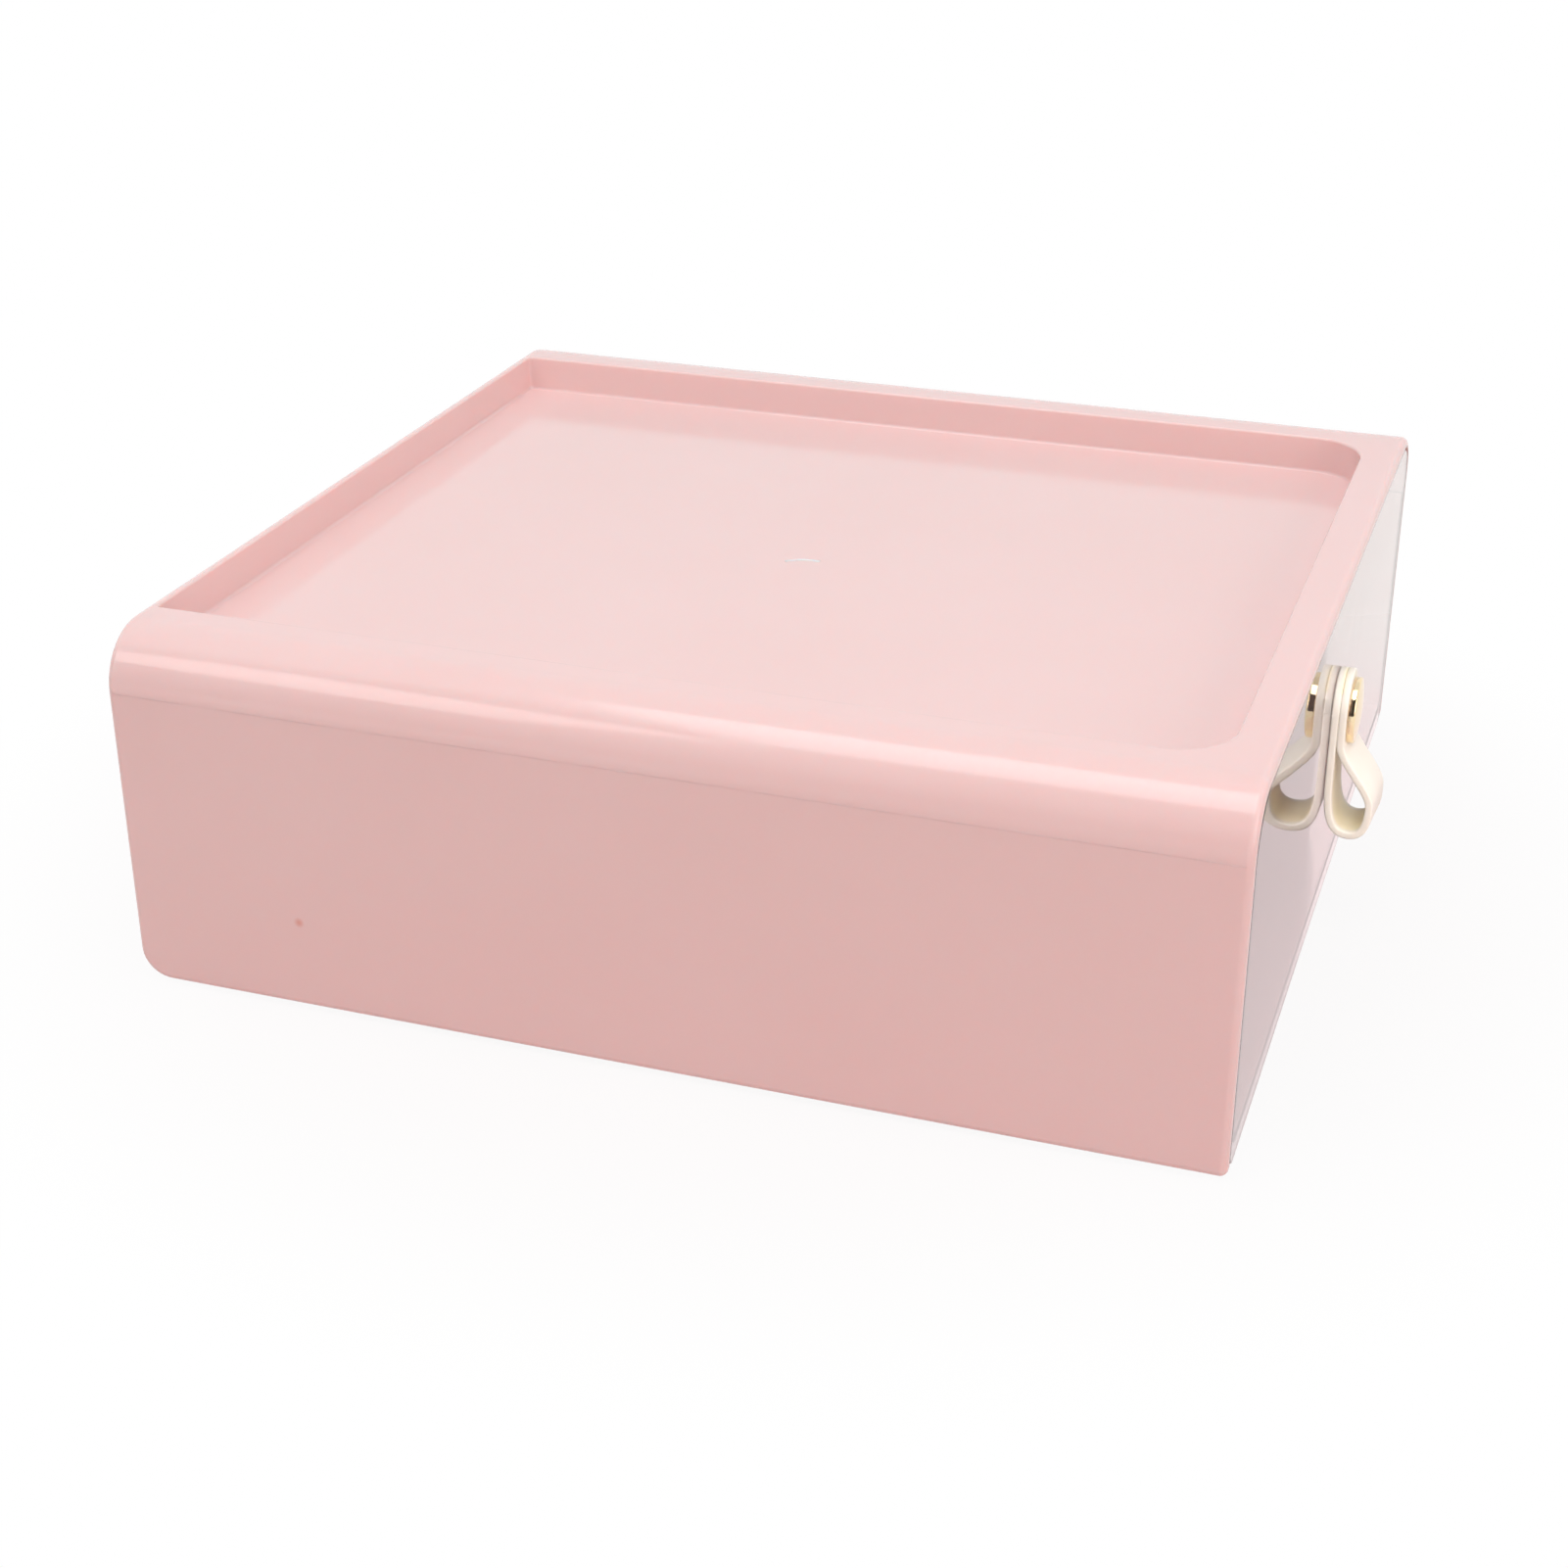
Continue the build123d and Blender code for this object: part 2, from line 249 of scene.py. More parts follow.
def clear_plastic():
    finish, tree, shader = start_finish("clear_plastic", {
        "Base Color": (*CLEAR_TINT, 1),
        "IOR": 1.52,
        "Transmission Weight": 1.0,
    })
    uneven_gloss(tree, shader, size=14 * MM, low=0.008, high=0.03)
    across = across_object(tree)
    to_the_ends = spread(tree, worked(tree, "MULTIPLY", across, across), 0, 1, 0, drawer_high.x ** 2)
    relief(tree, shader, to_the_ends, depth=PLATE_WARP)
    relief(tree, shader, uneven(tree, size=22 * MM, detail=1.0), depth=0.01 * MM)
    passing = add_node(tree, "ShaderNodeBsdfTransparent", {"Color": (*CLEAR_SHADOW, 1)})
    path = tree.nodes.new("ShaderNodeLightPath").outputs
    surface = mixed(tree, path["Is Shadow Ray"], shader.outputs["BSDF"], passing.outputs["BSDF"])
    tree.links.new(surface, tree.nodes["Material Output"].inputs["Surface"])
    return finish


clear = clear_plastic()
print("made", clear.name)

# %% [markdown]
# The strap is a cream coated leather: a smooth outer face with a very fine grain, and a slightly tan back that
# shows inside the loop. That tan is partly the back's own colour and partly painted shade: the deeper, yellower
# tone that light takes as it bounces about inside the loop. How deep a point lies is written on the mesh as an
# attribute when the strap is cut, so one material can hold both sides. The tan stops short of the strap's edges.

# %% Cream strap leather
CREAM = (0.972, 0.922, 0.832)
CREAM_DARK = (0.962, 0.904, 0.804)
# Partly the back's own tan, partly painted shade from inside the loop.
TAN_AND_LOOP_SHADE = (0.995, 0.905, 0.690)
GRAIN_SIZE = 0.55 * MM
BACK_AND_SHADE_DEPTH = (0.5, 0.95)
BACK_AND_SHADE_EDGE = 1.4 * MM
BACK_AND_SHADE_BLUR = 0.5 * MM
back_and_shade_half = strap_width / 2 - BACK_AND_SHADE_EDGE


def strap_leather():
    finish, tree, shader = start_finish("strap_leather", {
        "IOR": 1.45,
        "Subsurface Weight": 0.2,
        "Subsurface Radius": (1.0, 0.85, 0.70),
        "Subsurface Scale": 1.0 * MM,
        "Sheen Weight": 0.08,
    })
    cream = uneven_colour(tree, CREAM, CREAM_DARK, size=5 * MM)
    depth = tree.nodes.new("ShaderNodeAttribute")
    depth.attribute_name = "strap_depth"
    inside = spread(tree, depth.outputs["Fac"], 0, 1, *BACK_AND_SHADE_DEPTH)
    off_middle = worked(tree, "ABSOLUTE", across_object(tree))
    back_and_shade = spread(tree, off_middle, 1, 0, back_and_shade_half - BACK_AND_SHADE_BLUR, back_and_shade_half)
    # The back takes the tan: partly its own colour, partly painted shade from inside the loop.
    colour = between(tree, worked(tree, "MULTIPLY", inside, back_and_shade), cream, TAN_AND_LOOP_SHADE)
    tree.links.new(colour, shader.inputs["Base Color"])
    uneven_gloss(tree, shader, size=2 * MM, low=0.38, high=0.52)
    grain = add_node(tree, "ShaderNodeTexVoronoi", {"Scale": 1 / GRAIN_SIZE}, Vector=object_place(tree))
    grain.feature = "SMOOTH_F1"
    relief(tree, shader, grain.outputs["Distance"], depth=0.03 * MM, strength=0.6)
    return finish


leather = strap_leather()
print("made", leather.name)

# %% [markdown]
# The stud is brass under a bright gold plate. Plated metal mirrors the room, so its colour matters less
# than how sharp the mirror is: the roughness is low, with a faint polish haze.

# %% Gold plate
GOLD = (0.950, 0.790, 0.530)
GOLD_DEEP = (0.930, 0.750, 0.470)


def gold_plate():
    finish, tree, shader = start_finish("gold_plate", {"Metallic": 1.0})
    colour = uneven_colour(tree, GOLD, GOLD_DEEP, size=3 * MM)
    tree.links.new(colour, shader.inputs["Base Color"])
    uneven_gloss(tree, shader, size=0.8 * MM, low=0.05, high=0.12)
    relief(tree, shader, uneven(tree, size=1.6 * MM, detail=1.0), depth=0.003 * MM)
    return finish


gold = gold_plate()
print("made", gold.name)

# %% [markdown]
# The washer and screw behind the plate are zinc-plated steel, duller than the stud. Zinc grows in small
# flat crystals, so the colour follows a cell pattern, not soft noise.

# %% Zinc plate
ZINC = (0.560, 0.565, 0.575)
ZINC_DARK = (0.420, 0.425, 0.435)
SPANGLE_SIZE = 0.7 * MM
SPANGLE_FADE = (0.1, 0.8)


def zinc_plate():
    finish, tree, shader = start_finish("zinc_plate", {"Metallic": 1.0})
    spangle = add_node(tree, "ShaderNodeTexVoronoi", {"Scale": 1 / SPANGLE_SIZE}, Vector=object_place(tree))
    dark_share = spread(tree, spangle.outputs["Distance"], 0, 1, *SPANGLE_FADE)
    tree.links.new(between(tree, dark_share, ZINC, ZINC_DARK), shader.inputs["Base Color"])
    uneven_gloss(tree, shader, size=0.6 * MM, low=0.28, high=0.42)
    relief(tree, shader, uneven(tree, size=0.4 * MM), depth=0.004 * MM)
    return finish


zinc = zinc_plate()
print("made", zinc.name)

# %% [markdown]
# The pads under the base are cast silicone: pale, matt and faintly dusty.

# %% Pad silicone
PAD = (0.640, 0.625, 0.600)
PAD_DUST = (0.720, 0.705, 0.685)


def pad_silicone():
    finish, tree, shader = start_finish("pad_silicone", {
        "IOR": 1.41,
        "Subsurface Weight": 0.1,
        "Subsurface Scale": 0.8 * MM,
    })
    colour = uneven_colour(tree, PAD, PAD_DUST, size=1.5 * MM)
    tree.links.new(colour, shader.inputs["Base Color"])
    uneven_gloss(tree, shader, size=1 * MM, low=0.55, high=0.75)
    relief(tree, shader, uneven(tree, size=0.3 * MM), depth=0.01 * MM)
    return finish


silicone = pad_silicone()
print("made", silicone.name)

# %% [markdown]
# The solids whose shape and shading are already right keep their mesh and only take a finish. The casing,
# the strap and the stud are not among them: new pieces stand in for those further on.

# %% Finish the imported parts
def dress(node_name, finish):
    """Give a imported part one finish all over."""
    node_materials = nodes[node_name].data.materials
    node_materials.clear()
    node_materials.append(finish)


dress("drawer", clear)
dress("stud_washer", zinc)
dress("stud_screw", zinc)
pad_names = [name for name in nodes if name.startswith("foot_pad")]
for pad_name in pad_names:
    dress(pad_name, silicone)
print("finished drawer, washer, screw and", len(pad_names), "pads")

# %% [markdown]
# A new piece starts as a bmesh, Blender's editable mesh. These helpers name what is done to each: all of
# it is picked, or some edges are rounded. The last one closes it: it merges doubles, turns the faces
# outwards, makes the object at the origin and lets it ride on a body of the frame.

# %% Helpers for pieces
MERGE_GAP = 0.001 * MM
ROUND_STEPS = 4


def whole(bm):
    return bm.verts[:] + bm.edges[:] + bm.faces[:]


def round_edges(bm, edges, size):
    bmesh.ops.bevel(bm, geom=edges, offset=size, offset_type="OFFSET", affect="EDGES",
                    segments=ROUND_STEPS, profile=0.5, material=-1, clamp_overlap=True)


def finish_piece(bm, name, finish, body=None, smooth_angle=35):
    bmesh.ops.remove_doubles(bm, verts=bm.verts[:], dist=MERGE_GAP)
    bmesh.ops.recalc_face_normals(bm, faces=bm.faces[:])
    mesh = bpy.data.meshes.new(name)
    bm.to_mesh(mesh)
    bm.free()
    mesh.materials.append(finish)
    mesh.shade_smooth()
    mesh.set_sharp_from_angle(angle=math.radians(smooth_angle))
    piece = bpy.data.objects.new(name, mesh)
    bpy.context.scene.collection.objects.link(piece)
    if body:
        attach(piece, body)
    print(name, len(mesh.polygons), "faces")
    return piece


# %% [markdown]
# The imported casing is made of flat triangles, and where its rounded top runs into a wall their shading is
# a few degrees off, which draws a false step in the gloss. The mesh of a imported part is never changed, so
# a copy is merged, and a Weighted Normal modifier lets the large flat walls decide how their edges shade.

# %% Casing with an even gloss
casing_copy = bmesh.new()
casing_copy.from_mesh(nodes["casing"].data)
casing_shell = finish_piece(casing_copy, "casing_shell", pink, body="case")
even_gloss = casing_shell.modifiers.new("even_gloss", "WEIGHTED_NORMAL")
even_gloss.mode = "FACE_AREA"
even_gloss.weight = 100
even_gloss.keep_sharp = True
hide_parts("casing")

# %% [markdown]
# The strap is one strip with round ends, folded in half so that both ends lie under the stud and the
# fold hangs as a loop. It could be a curve with a flat bevel, but then the round ends and the two sides
# would need patching. Here it is made as the real one is: a blank is cut flat, thickened, its edges are
# rounded, and then each point of it is carried along the line that the fold takes.
#
# First the line, seen from the side: each place is a distance out from the plate and a height. The strap
# passes six corners, each with the way that it runs there. Between two of them it is a Bezier curve, whose
# handles reach a given distance along those ways.

# %% The line that the strap follows
strap_thickness = strap_stack / 2
inner_layer = strap_thickness / 2
outer_layer = strap_thickness * 1.5
loop_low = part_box("strap_loop")[0]
ends_z = strap_high.z - strap_width / 2
inner_leave_z = stud_z - 10.6 * MM
outer_leave_z = stud_z - 5.4 * MM
fold_bottom_z = loop_low.z + strap_thickness / 2
fold_middle = 6.1 * MM
fold_out = plate_face_y - loop_low.y - strap_thickness / 2
widest_z = fold_bottom_z + 7.7 * MM
POINTS_PER_STRETCH = 60
DOWN = (0, -1)
OUT = (1, 0)
UP = (0, 1)
strap_corners = [
    ((inner_layer, ends_z), DOWN),
    ((inner_layer, inner_leave_z), DOWN),
    ((fold_middle, fold_bottom_z), OUT),
    ((fold_out, widest_z), UP),
    ((outer_layer, outer_leave_z), UP),
    ((outer_layer, ends_z), UP),
]
handle_reaches = [
    (4 * MM, 3 * MM),
    (9 * MM, 5.4 * MM),
    (3.6 * MM, 4 * MM),
    (3.4 * MM, 4 * MM),
    (2 * MM, 2 * MM),
]


def moved(place, way, reach):
    """The place at a distance along a way, or against it where the distance is negative."""
    return Vector((place[0] + way[0] * reach, place[1] + way[1] * reach))


def fold_line():
    """Points along the middle of the strap, from the inner end under the stud round to the outer end."""
    points = []
    for before, after, reaches in zip(strap_corners, strap_corners[1:], handle_reaches):
        start_handle = moved(*before, reaches[0])
        end_handle = moved(*after, -reaches[1])
        start = Vector(before[0])
        end = Vector(after[0])
        points += interpolate_bezier(start, start_handle, end_handle, end, POINTS_PER_STRETCH)[:-1]
    return points + [end]


line = fold_line()
line_steps = [(after - before).length for before, after in zip(line, line[1:])]
line_length = sum(line_steps)
print("the strap is", round((line_length + strap_width) / MM, 1), "mm long when flat")

# %% [markdown]
# The blank is a circle cut in two, with its halves pulled apart and bridged. It is scored across with
# bisect_plane so that it can bend, solidified to the leather's thickness, and the edges all round it are
# bevelled to the soft edge of a strap that has been burnished. Each point then keeps its depth in the
# strap as an attribute, for the finish.

# %% Cut the strap's blank
SCORES = 110
CIRCLE_POINTS = 64
STRAP_EDGE_ROUND = 0.4 * MM
SHARP_TURN = math.radians(60)


def strap_blank():
    """The flat strip with round ends, scored across."""
    bm = bmesh.new()
    bmesh.ops.create_circle(bm, cap_ends=True, segments=CIRCLE_POINTS, radius=strap_width / 2)
    bmesh.ops.bisect_plane(bm, geom=whole(bm), plane_co=(0, 0, 0), plane_no=(0, 1, 0))
    middle = [edge for edge in bm.edges if all(abs(vert.co.y) < MERGE_GAP for vert in edge.verts)]
    bmesh.ops.split_edges(bm, edges=middle)
    far_face = max(bm.faces, key=lambda face: face.calc_center_median().y)
    bmesh.ops.translate(bm, verts=far_face.verts[:], vec=(0, line_length, 0))
    cut_edges = [edge for edge in bm.edges if edge.calc_length() > strap_width - MERGE_GAP]
    bmesh.ops.bridge_loops(bm, edges=cut_edges)
    for score in range(1, SCORES):
        place = (0, line_length * score / SCORES, 0)
        bmesh.ops.bisect_plane(bm, geom=whole(bm), plane_co=place, plane_no=(0, 1, 0))
    bmesh.ops.recalc_face_normals(bm, faces=bm.faces[:])
    return bm


def thicken_and_round(bm):
    """The strip as a solid with soft edges, which knows how deep each point lies."""
    bmesh.ops.solidify(bm, geom=bm.faces[:], thickness=strap_thickness)
    lowest = min(vert.co.z for vert in bm.verts)
    bmesh.ops.translate(bm, verts=bm.verts[:], vec=(0, 0, -lowest))
    bmesh.ops.recalc_face_normals(bm, faces=bm.faces[:])
    rim = [edge for edge in bm.edges if edge.calc_face_angle(0) > SHARP_TURN]
    round_edges(bm, rim, STRAP_EDGE_ROUND)
    depth = bm.verts.layers.float.new("strap_depth")
    for vert in bm.verts:
        vert[depth] = vert.co.z / strap_thickness


bm = strap_blank()
thicken_and_round(bm)
print("blank:", len(bm.faces), "faces,", round(max(vert.co.z for vert in bm.verts) / MM, 2), "mm thick")

# %% [markdown]
# Folding moves each point to its distance along the line, and sideways from the line by its depth. The
# ends carry on straight past the line's two ends. A hair of air keeps the strap's back off the plate, and
# the loop hangs a little skew, as a strap folded by hand does: its right side is lower and further out.
# The skew grows from none at the height where the frame turns its loop to its full size at the bottom of the fold.

# %% Fold the strap
STRAP_AIR = 0.02 * MM
SKEW_DROP = 1.3 * MM
SKEW_OUT = 0.8 * MM


def along_line(distance):
    """Place and direction at a distance along the strap's line."""
    if distance <= 0:
        return line[0] + Vector((0, -distance)), Vector(DOWN)
    for before, step, after in zip(line, line_steps, line[1:]):
        if distance <= step:
            return before.lerp(after, distance / step), (after - before).normalized()
        distance -= step
    return line[-1] + Vector((0, distance)), Vector(UP)


for vert in bm.verts:
    place, direction = along_line(vert.co.y)
    place += Vector((-direction.y, direction.x)) * (vert.co.z - strap_thickness / 2)
    hang = min(max((hinge_place.z - place.y) / (hinge_place.z - fold_bottom_z), 0), 1)
    skew = hang * (vert.co.x / strap_width + 0.5)
    place += Vector((SKEW_OUT * place.x / fold_out, -SKEW_DROP)) * skew
    vert.co = (vert.co.x, plate_face_y - STRAP_AIR - place.x, place.y)

strap = finish_piece(bm, "strap", leather, smooth_angle=50)
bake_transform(strap)
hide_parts("strap_fixed_end", "strap_loop")

# %% [markdown]
# The stud is turned from brass: a short drum with a shallow dome, and a post that goes through the strap
# and the plate. Turned work is a spin: half of its outline goes round the axis in a full circle, and the
# rim of the drum is then bevelled, because a plated edge is never sharp and that is where it glints.

# %% Turn the stud
STUD_DOME = 0.7 * MM
STUD_RIM_ROUND = 0.4 * MM
STUD_FOOT_ROUND = 0.2 * MM
POST_RADIUS = 1.8 * MM
DOME_STEPS = 8
TURN_STEPS = 120
stud_seat_y = plate_face_y - strap_stack - STRAP_AIR
stud_shoulder_y = stud_low.y + STUD_DOME


def stud_outline():
    """Half of the stud's outline as (radius, y), from the middle of the dome to the end of the post."""
    dome_radius = (stud_radius ** 2 + STUD_DOME ** 2) / (2 * STUD_DOME)
    dome_turn = math.asin(stud_radius / dome_radius)
    dome = []
    for step in range(DOME_STEPS + 1):
        turn = dome_turn * step / DOME_STEPS
        dome.append((dome_radius * math.sin(turn), stud_low.y + dome_radius * (1 - math.cos(turn))))
    return dome + [(stud_radius, stud_seat_y), (POST_RADIUS, stud_seat_y),
                   (POST_RADIUS, stud_high.y), (0, stud_high.y)]


def turned_stud():
    """The outline spun in a full circle about the stud's axis."""
    bm = bmesh.new()
    verts = [bm.verts.new((radius, y, stud_z)) for radius, y in stud_outline()]
    for before, after in zip(verts, verts[1:]):
        bm.edges.new((before, after))
    bmesh.ops.spin(bm, geom=whole(bm), cent=(0, 0, stud_z), axis=(0, 1, 0), angle=math.tau,
                   steps=TURN_STEPS, use_merge=True)
    bmesh.ops.remove_doubles(bm, verts=bm.verts[:], dist=MERGE_GAP)
    return bm


def rim_edges(bm, y):
    """The edges of the drum's rim at the given y."""
    def on_rim(vert):
        radius = math.hypot(vert.co.x, vert.co.z - stud_z)
        return abs(vert.co.y - y) < MERGE_GAP and abs(radius - stud_radius) < MERGE_GAP
    return [edge for edge in bm.edges if all(on_rim(vert) for vert in edge.verts)]


bm = turned_stud()
round_edges(bm, rim_edges(bm, stud_shoulder_y), STUD_RIM_ROUND)
round_edges(bm, rim_edges(bm, stud_seat_y), STUD_FOOT_ROUND)
stud = finish_piece(bm, "stud_turned", gold, body="drawer", smooth_angle=40)
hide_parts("stud")

# %% [markdown]
# The melt went into the mould at one point, and where that gate was torn off, a small mark is left. The mark has a
# paler and duller finish of its own: its paleness is painted highlight, the light that its far slope catches.

# %% Pale plastic: painted highlight on the gate mark
# Pale pinks that paint the highlight on the gate mark.
GATE_HIGHLIGHT_PALE = (0.975, 0.900, 0.885)
GATE_HIGHLIGHT_PINK = (0.950, 0.800, 0.785)


def gate_highlight_plastic():
    finish, tree, shader = start_finish("gate_highlight_plastic", {
        "IOR": 1.5,
        "Subsurface Weight": 0.3,
        "Subsurface Scale": 1.0 * MM,
    })
    # The pale colour is painted highlight.
    colour = uneven_colour(tree, GATE_HIGHLIGHT_PALE, GATE_HIGHLIGHT_PINK, size=1.2 * MM)
    tree.links.new(colour, shader.inputs["Base Color"])
    uneven_gloss(tree, shader, size=0.5 * MM, low=0.30, high=0.42)
    relief(tree, shader, uneven(tree, size=0.3 * MM), depth=0.01 * MM)
    return finish


gate_highlight_finish = gate_highlight_plastic()
print("made", gate_highlight_finish.name)

# %% [markdown]
# The mark itself is a small raised crescent on the tray's floor. It is a spin too, but only through part
# of a circle: a small closed outline, turned, capped at both ends and flattened towards them.

# %% Gate mark on the sunk floor
GATE_MIDDLE = Vector((-4.0 * MM, 4.0 * MM, sunk_floor_z))
GATE_FACING = math.radians(17)
GATE_HALF_TURN = math.radians(30)
GATE_RADIUS = 8.0 * MM
GATE_HEIGHT = 0.20 * MM
GATE_HALF_WIDTH = 0.5 * MM
GATE_SINK = 0.05 * MM
GATE_STEPS = 32
gate_centre = GATE_MIDDLE - GATE_RADIUS * Vector((math.cos(GATE_FACING), math.sin(GATE_FACING), 0))
gate_inner = GATE_RADIUS - GATE_HALF_WIDTH
gate_outer = GATE_RADIUS + GATE_HALF_WIDTH
gate_outline = [(gate_inner, -GATE_SINK), (gate_inner, 0), (GATE_RADIUS, GATE_HEIGHT),
                (gate_outer, 0), (gate_outer, -GATE_SINK)]


def gate_crescent():
    bm = bmesh.new()
    corners = [bm.verts.new(gate_centre + Vector((radius, 0, z))) for radius, z in gate_outline]
    for before, after in zip(corners, corners[1:] + corners[:1]):
        bm.edges.new((before, after))
    first_turn = Matrix.Rotation(GATE_FACING - GATE_HALF_TURN, 3, "Z")
    bmesh.ops.rotate(bm, verts=bm.verts[:], cent=gate_centre, matrix=first_turn)
    bmesh.ops.spin(bm, geom=whole(bm), cent=gate_centre, axis=(0, 0, 1), angle=2 * GATE_HALF_TURN,
                   steps=GATE_STEPS)
    bmesh.ops.holes_fill(bm, edges=[edge for edge in bm.edges if edge.is_boundary])
    for vert in bm.verts:
        offset = vert.co - gate_centre
        turn = math.atan2(offset.y, offset.x) - GATE_FACING
        if offset.z > 0:
            vert.co.z = gate_centre.z + offset.z * math.cos(turn / GATE_HALF_TURN * math.pi / 2)
    return bm


finish_piece(gate_crescent(), "gate_mark", gate_highlight_finish, body="case")

# %% [markdown]
# Where the two halves of the mould met, at the foot of the rounded top, a hair-thin ridge is left on the
# sides and the back. It is a small three-sided bar along each wall, cut across into short lengths whose
# crest comes and goes, because a parting line is never even. Three ripples that never keep step make the
# crest: each has a pace, in radians to the millimetre, and a start.

# %% Parting ridge
RIDGE_Z = 68.2 * MM
RIDGE_HALF_HEIGHT = 0.08 * MM
RIDGE_PROUD = 0.03 * MM
RIDGE_WAVE = 0.015 * MM
RIDGE_RIPPLES = ((0.37, 0.0), (0.161, 1.3), (0.83, 0.4))
RIDGE_SINK = 0.05 * MM
RIDGE_CUTS = 90
RIDGE_END_GAP = 1.4 * MM


def ridge(name, start, end, outward):
    """A thin bar from start to end on a wall whose outward direction is given."""
    bm = bmesh.new()
    inside = start - outward * RIDGE_SINK
    corners = [inside + Vector((0, 0, RIDGE_HALF_HEIGHT)), start + outward * RIDGE_PROUD,
               inside - Vector((0, 0, RIDGE_HALF_HEIGHT))]
    face = bm.faces.new([bm.verts.new(corner) for corner in corners])
    run = bmesh.ops.extrude_face_region(bm, geom=[face], use_keep_orig=True)["geom"]
    far_corners = [part for part in run if isinstance(part, bmesh.types.BMVert)]
    bmesh.ops.translate(bm, verts=far_corners, vec=end - start)
    long_edges = [edge for edge in bm.edges if edge.calc_length() > (end - start).length / 2]
    bmesh.ops.subdivide_edges(bm, edges=long_edges, cuts=RIDGE_CUTS, use_grid_fill=True)
    for vert in bm.verts:
        if (vert.co - start).dot(outward) > 0:
            far = (vert.co - start).length / MM
            wave = sum(math.sin(far * pace + shift) for pace, shift in RIDGE_RIPPLES)
            vert.co += outward * RIDGE_WAVE * wave
    finish_piece(bm, name, pink, body="case", smooth_angle=20)


wall_x = casing_high.x
wall_y = casing_high.y
front_end = casing_low.y + RIDGE_END_GAP
for side_name, side in (("left", -1), ("right", 1)):
    ridge("parting_ridge_" + side_name, Vector((side * wall_x, front_end, RIDGE_Z)),
          Vector((side * wall_x, wall_y - RIDGE_END_GAP, RIDGE_Z)), Vector((side, 0, 0)))
ridge("parting_ridge_back", Vector((-wall_x + RIDGE_END_GAP, wall_y, RIDGE_Z)),
      Vector((wall_x - RIDGE_END_GAP, wall_y, RIDGE_Z)), Vector((0, 1, 0)))

# %% [markdown]
# The box stands on a plain pale sheet under soft light. The sheet is a real surface, so it takes the box's shadow
# and throws light back on its sides. To the eye, in mirrors and through clear plastic it is mixed with an even
# white, more so further out, which is how a studio sweep under its own lamp looks. In mirrors that white glows
# pink close to the box: painted light, standing for the pink light that the box throws on the paper, and the clear
# plate mirrors mostly that part.

# %% Floor
WHITE = (1, 1, 1, 1)
FLOOR_PAPER = (0.70, 0.53, 0.51)
FLOOR_SIZE = 12.0
SHADOW_SEEN = 0.08
SHADOW_MIRRORED = 0.05
SHADOW_REACH = (0.12, 0.23)
# Painted pink light, close to the box and further out, seen only in mirrors.
PAINTED_BOUNCE_NEAR = (1.0, 0.86, 0.87)
PAINTED_BOUNCE_FAR = (1.0, 0.97, 0.955)
floor_z = min(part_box(name)[0].z for name in pad_names)


def floor_paper():
    finish, tree, shader = start_finish("floor_paper", {
        "Base Color": (*FLOOR_PAPER, 1),
        "Roughness": 0.6,
        "Specular IOR Level": 0.2,
    })
    far = distance_from(tree, (0, 0, 0))
    path = tree.nodes.new("ShaderNodeLightPath").outputs
    seen = worked(tree, "MAXIMUM", path["Is Camera Ray"], path["Is Transmission Ray"])
    seen_white = spread(tree, far, 1 - SHADOW_SEEN, 1, *SHADOW_REACH, soft=True)
    white = add_node(tree, "ShaderNodeEmission", {"Color": WHITE, "Strength": 1.0})
    seen_share = worked(tree, "MULTIPLY", seen, seen_white)
    paper = mixed(tree, seen_share, shader.outputs["BSDF"], white.outputs["Emission"])
    mirrored_white = spread(tree, far, 1 - SHADOW_MIRRORED, 1, *SHADOW_REACH, soft=True)
    # A glow, pinker close to the box: painted light for the box's pink bounce on the paper.
    painted_bounce = between(tree, spread(tree, far, 0, 1, *SHADOW_REACH, soft=True), PAINTED_BOUNCE_NEAR, PAINTED_BOUNCE_FAR)
    painted_bounce_glow = add_node(tree, "ShaderNodeEmission", {"Strength": 1.0}, Color=painted_bounce)
    mirrored_share = worked(tree, "MULTIPLY", path["Is Glossy Ray"], mirrored_white)
    surface = mixed(tree, mirrored_share, paper, painted_bounce_glow.outputs["Emission"])
    tree.links.new(surface, tree.nodes["Material Output"].inputs["Surface"])
    return finish


bm = bmesh.new()
bmesh.ops.create_grid(bm, x_segments=1, y_segments=1, size=FLOOR_SIZE / 2)
bmesh.ops.translate(bm, verts=bm.verts[:], vec=(0, 0, floor_z))
floor_mesh = bpy.data.meshes.new("floor")
bm.to_mesh(floor_mesh)
bm.free()
floor_mesh.materials.append(floor_paper())
floor = bpy.data.objects.new("floor", floor_mesh)
bpy.context.scene.collection.objects.link(floor)
print("floor at", round(floor_z / MM, 2), "mm")

# %% [markdown]
# The sky is white wherever it is looked at directly or through clear plastic. A studio is not white all
# round, though, and gloss shows it: mirrors see a white sweep low down, a grey ceiling above it, and the
# dark room behind the camera. As a lamp the sky is an even soft fill.

# %% Sky
SKY_FILL = 0.42
CEILING_GREY = 0.85
ROOM_DARK = 0.05
SWEEP_TOP = (0.58, 0.74)
ROOM_EDGE = (-0.34, -0.14)


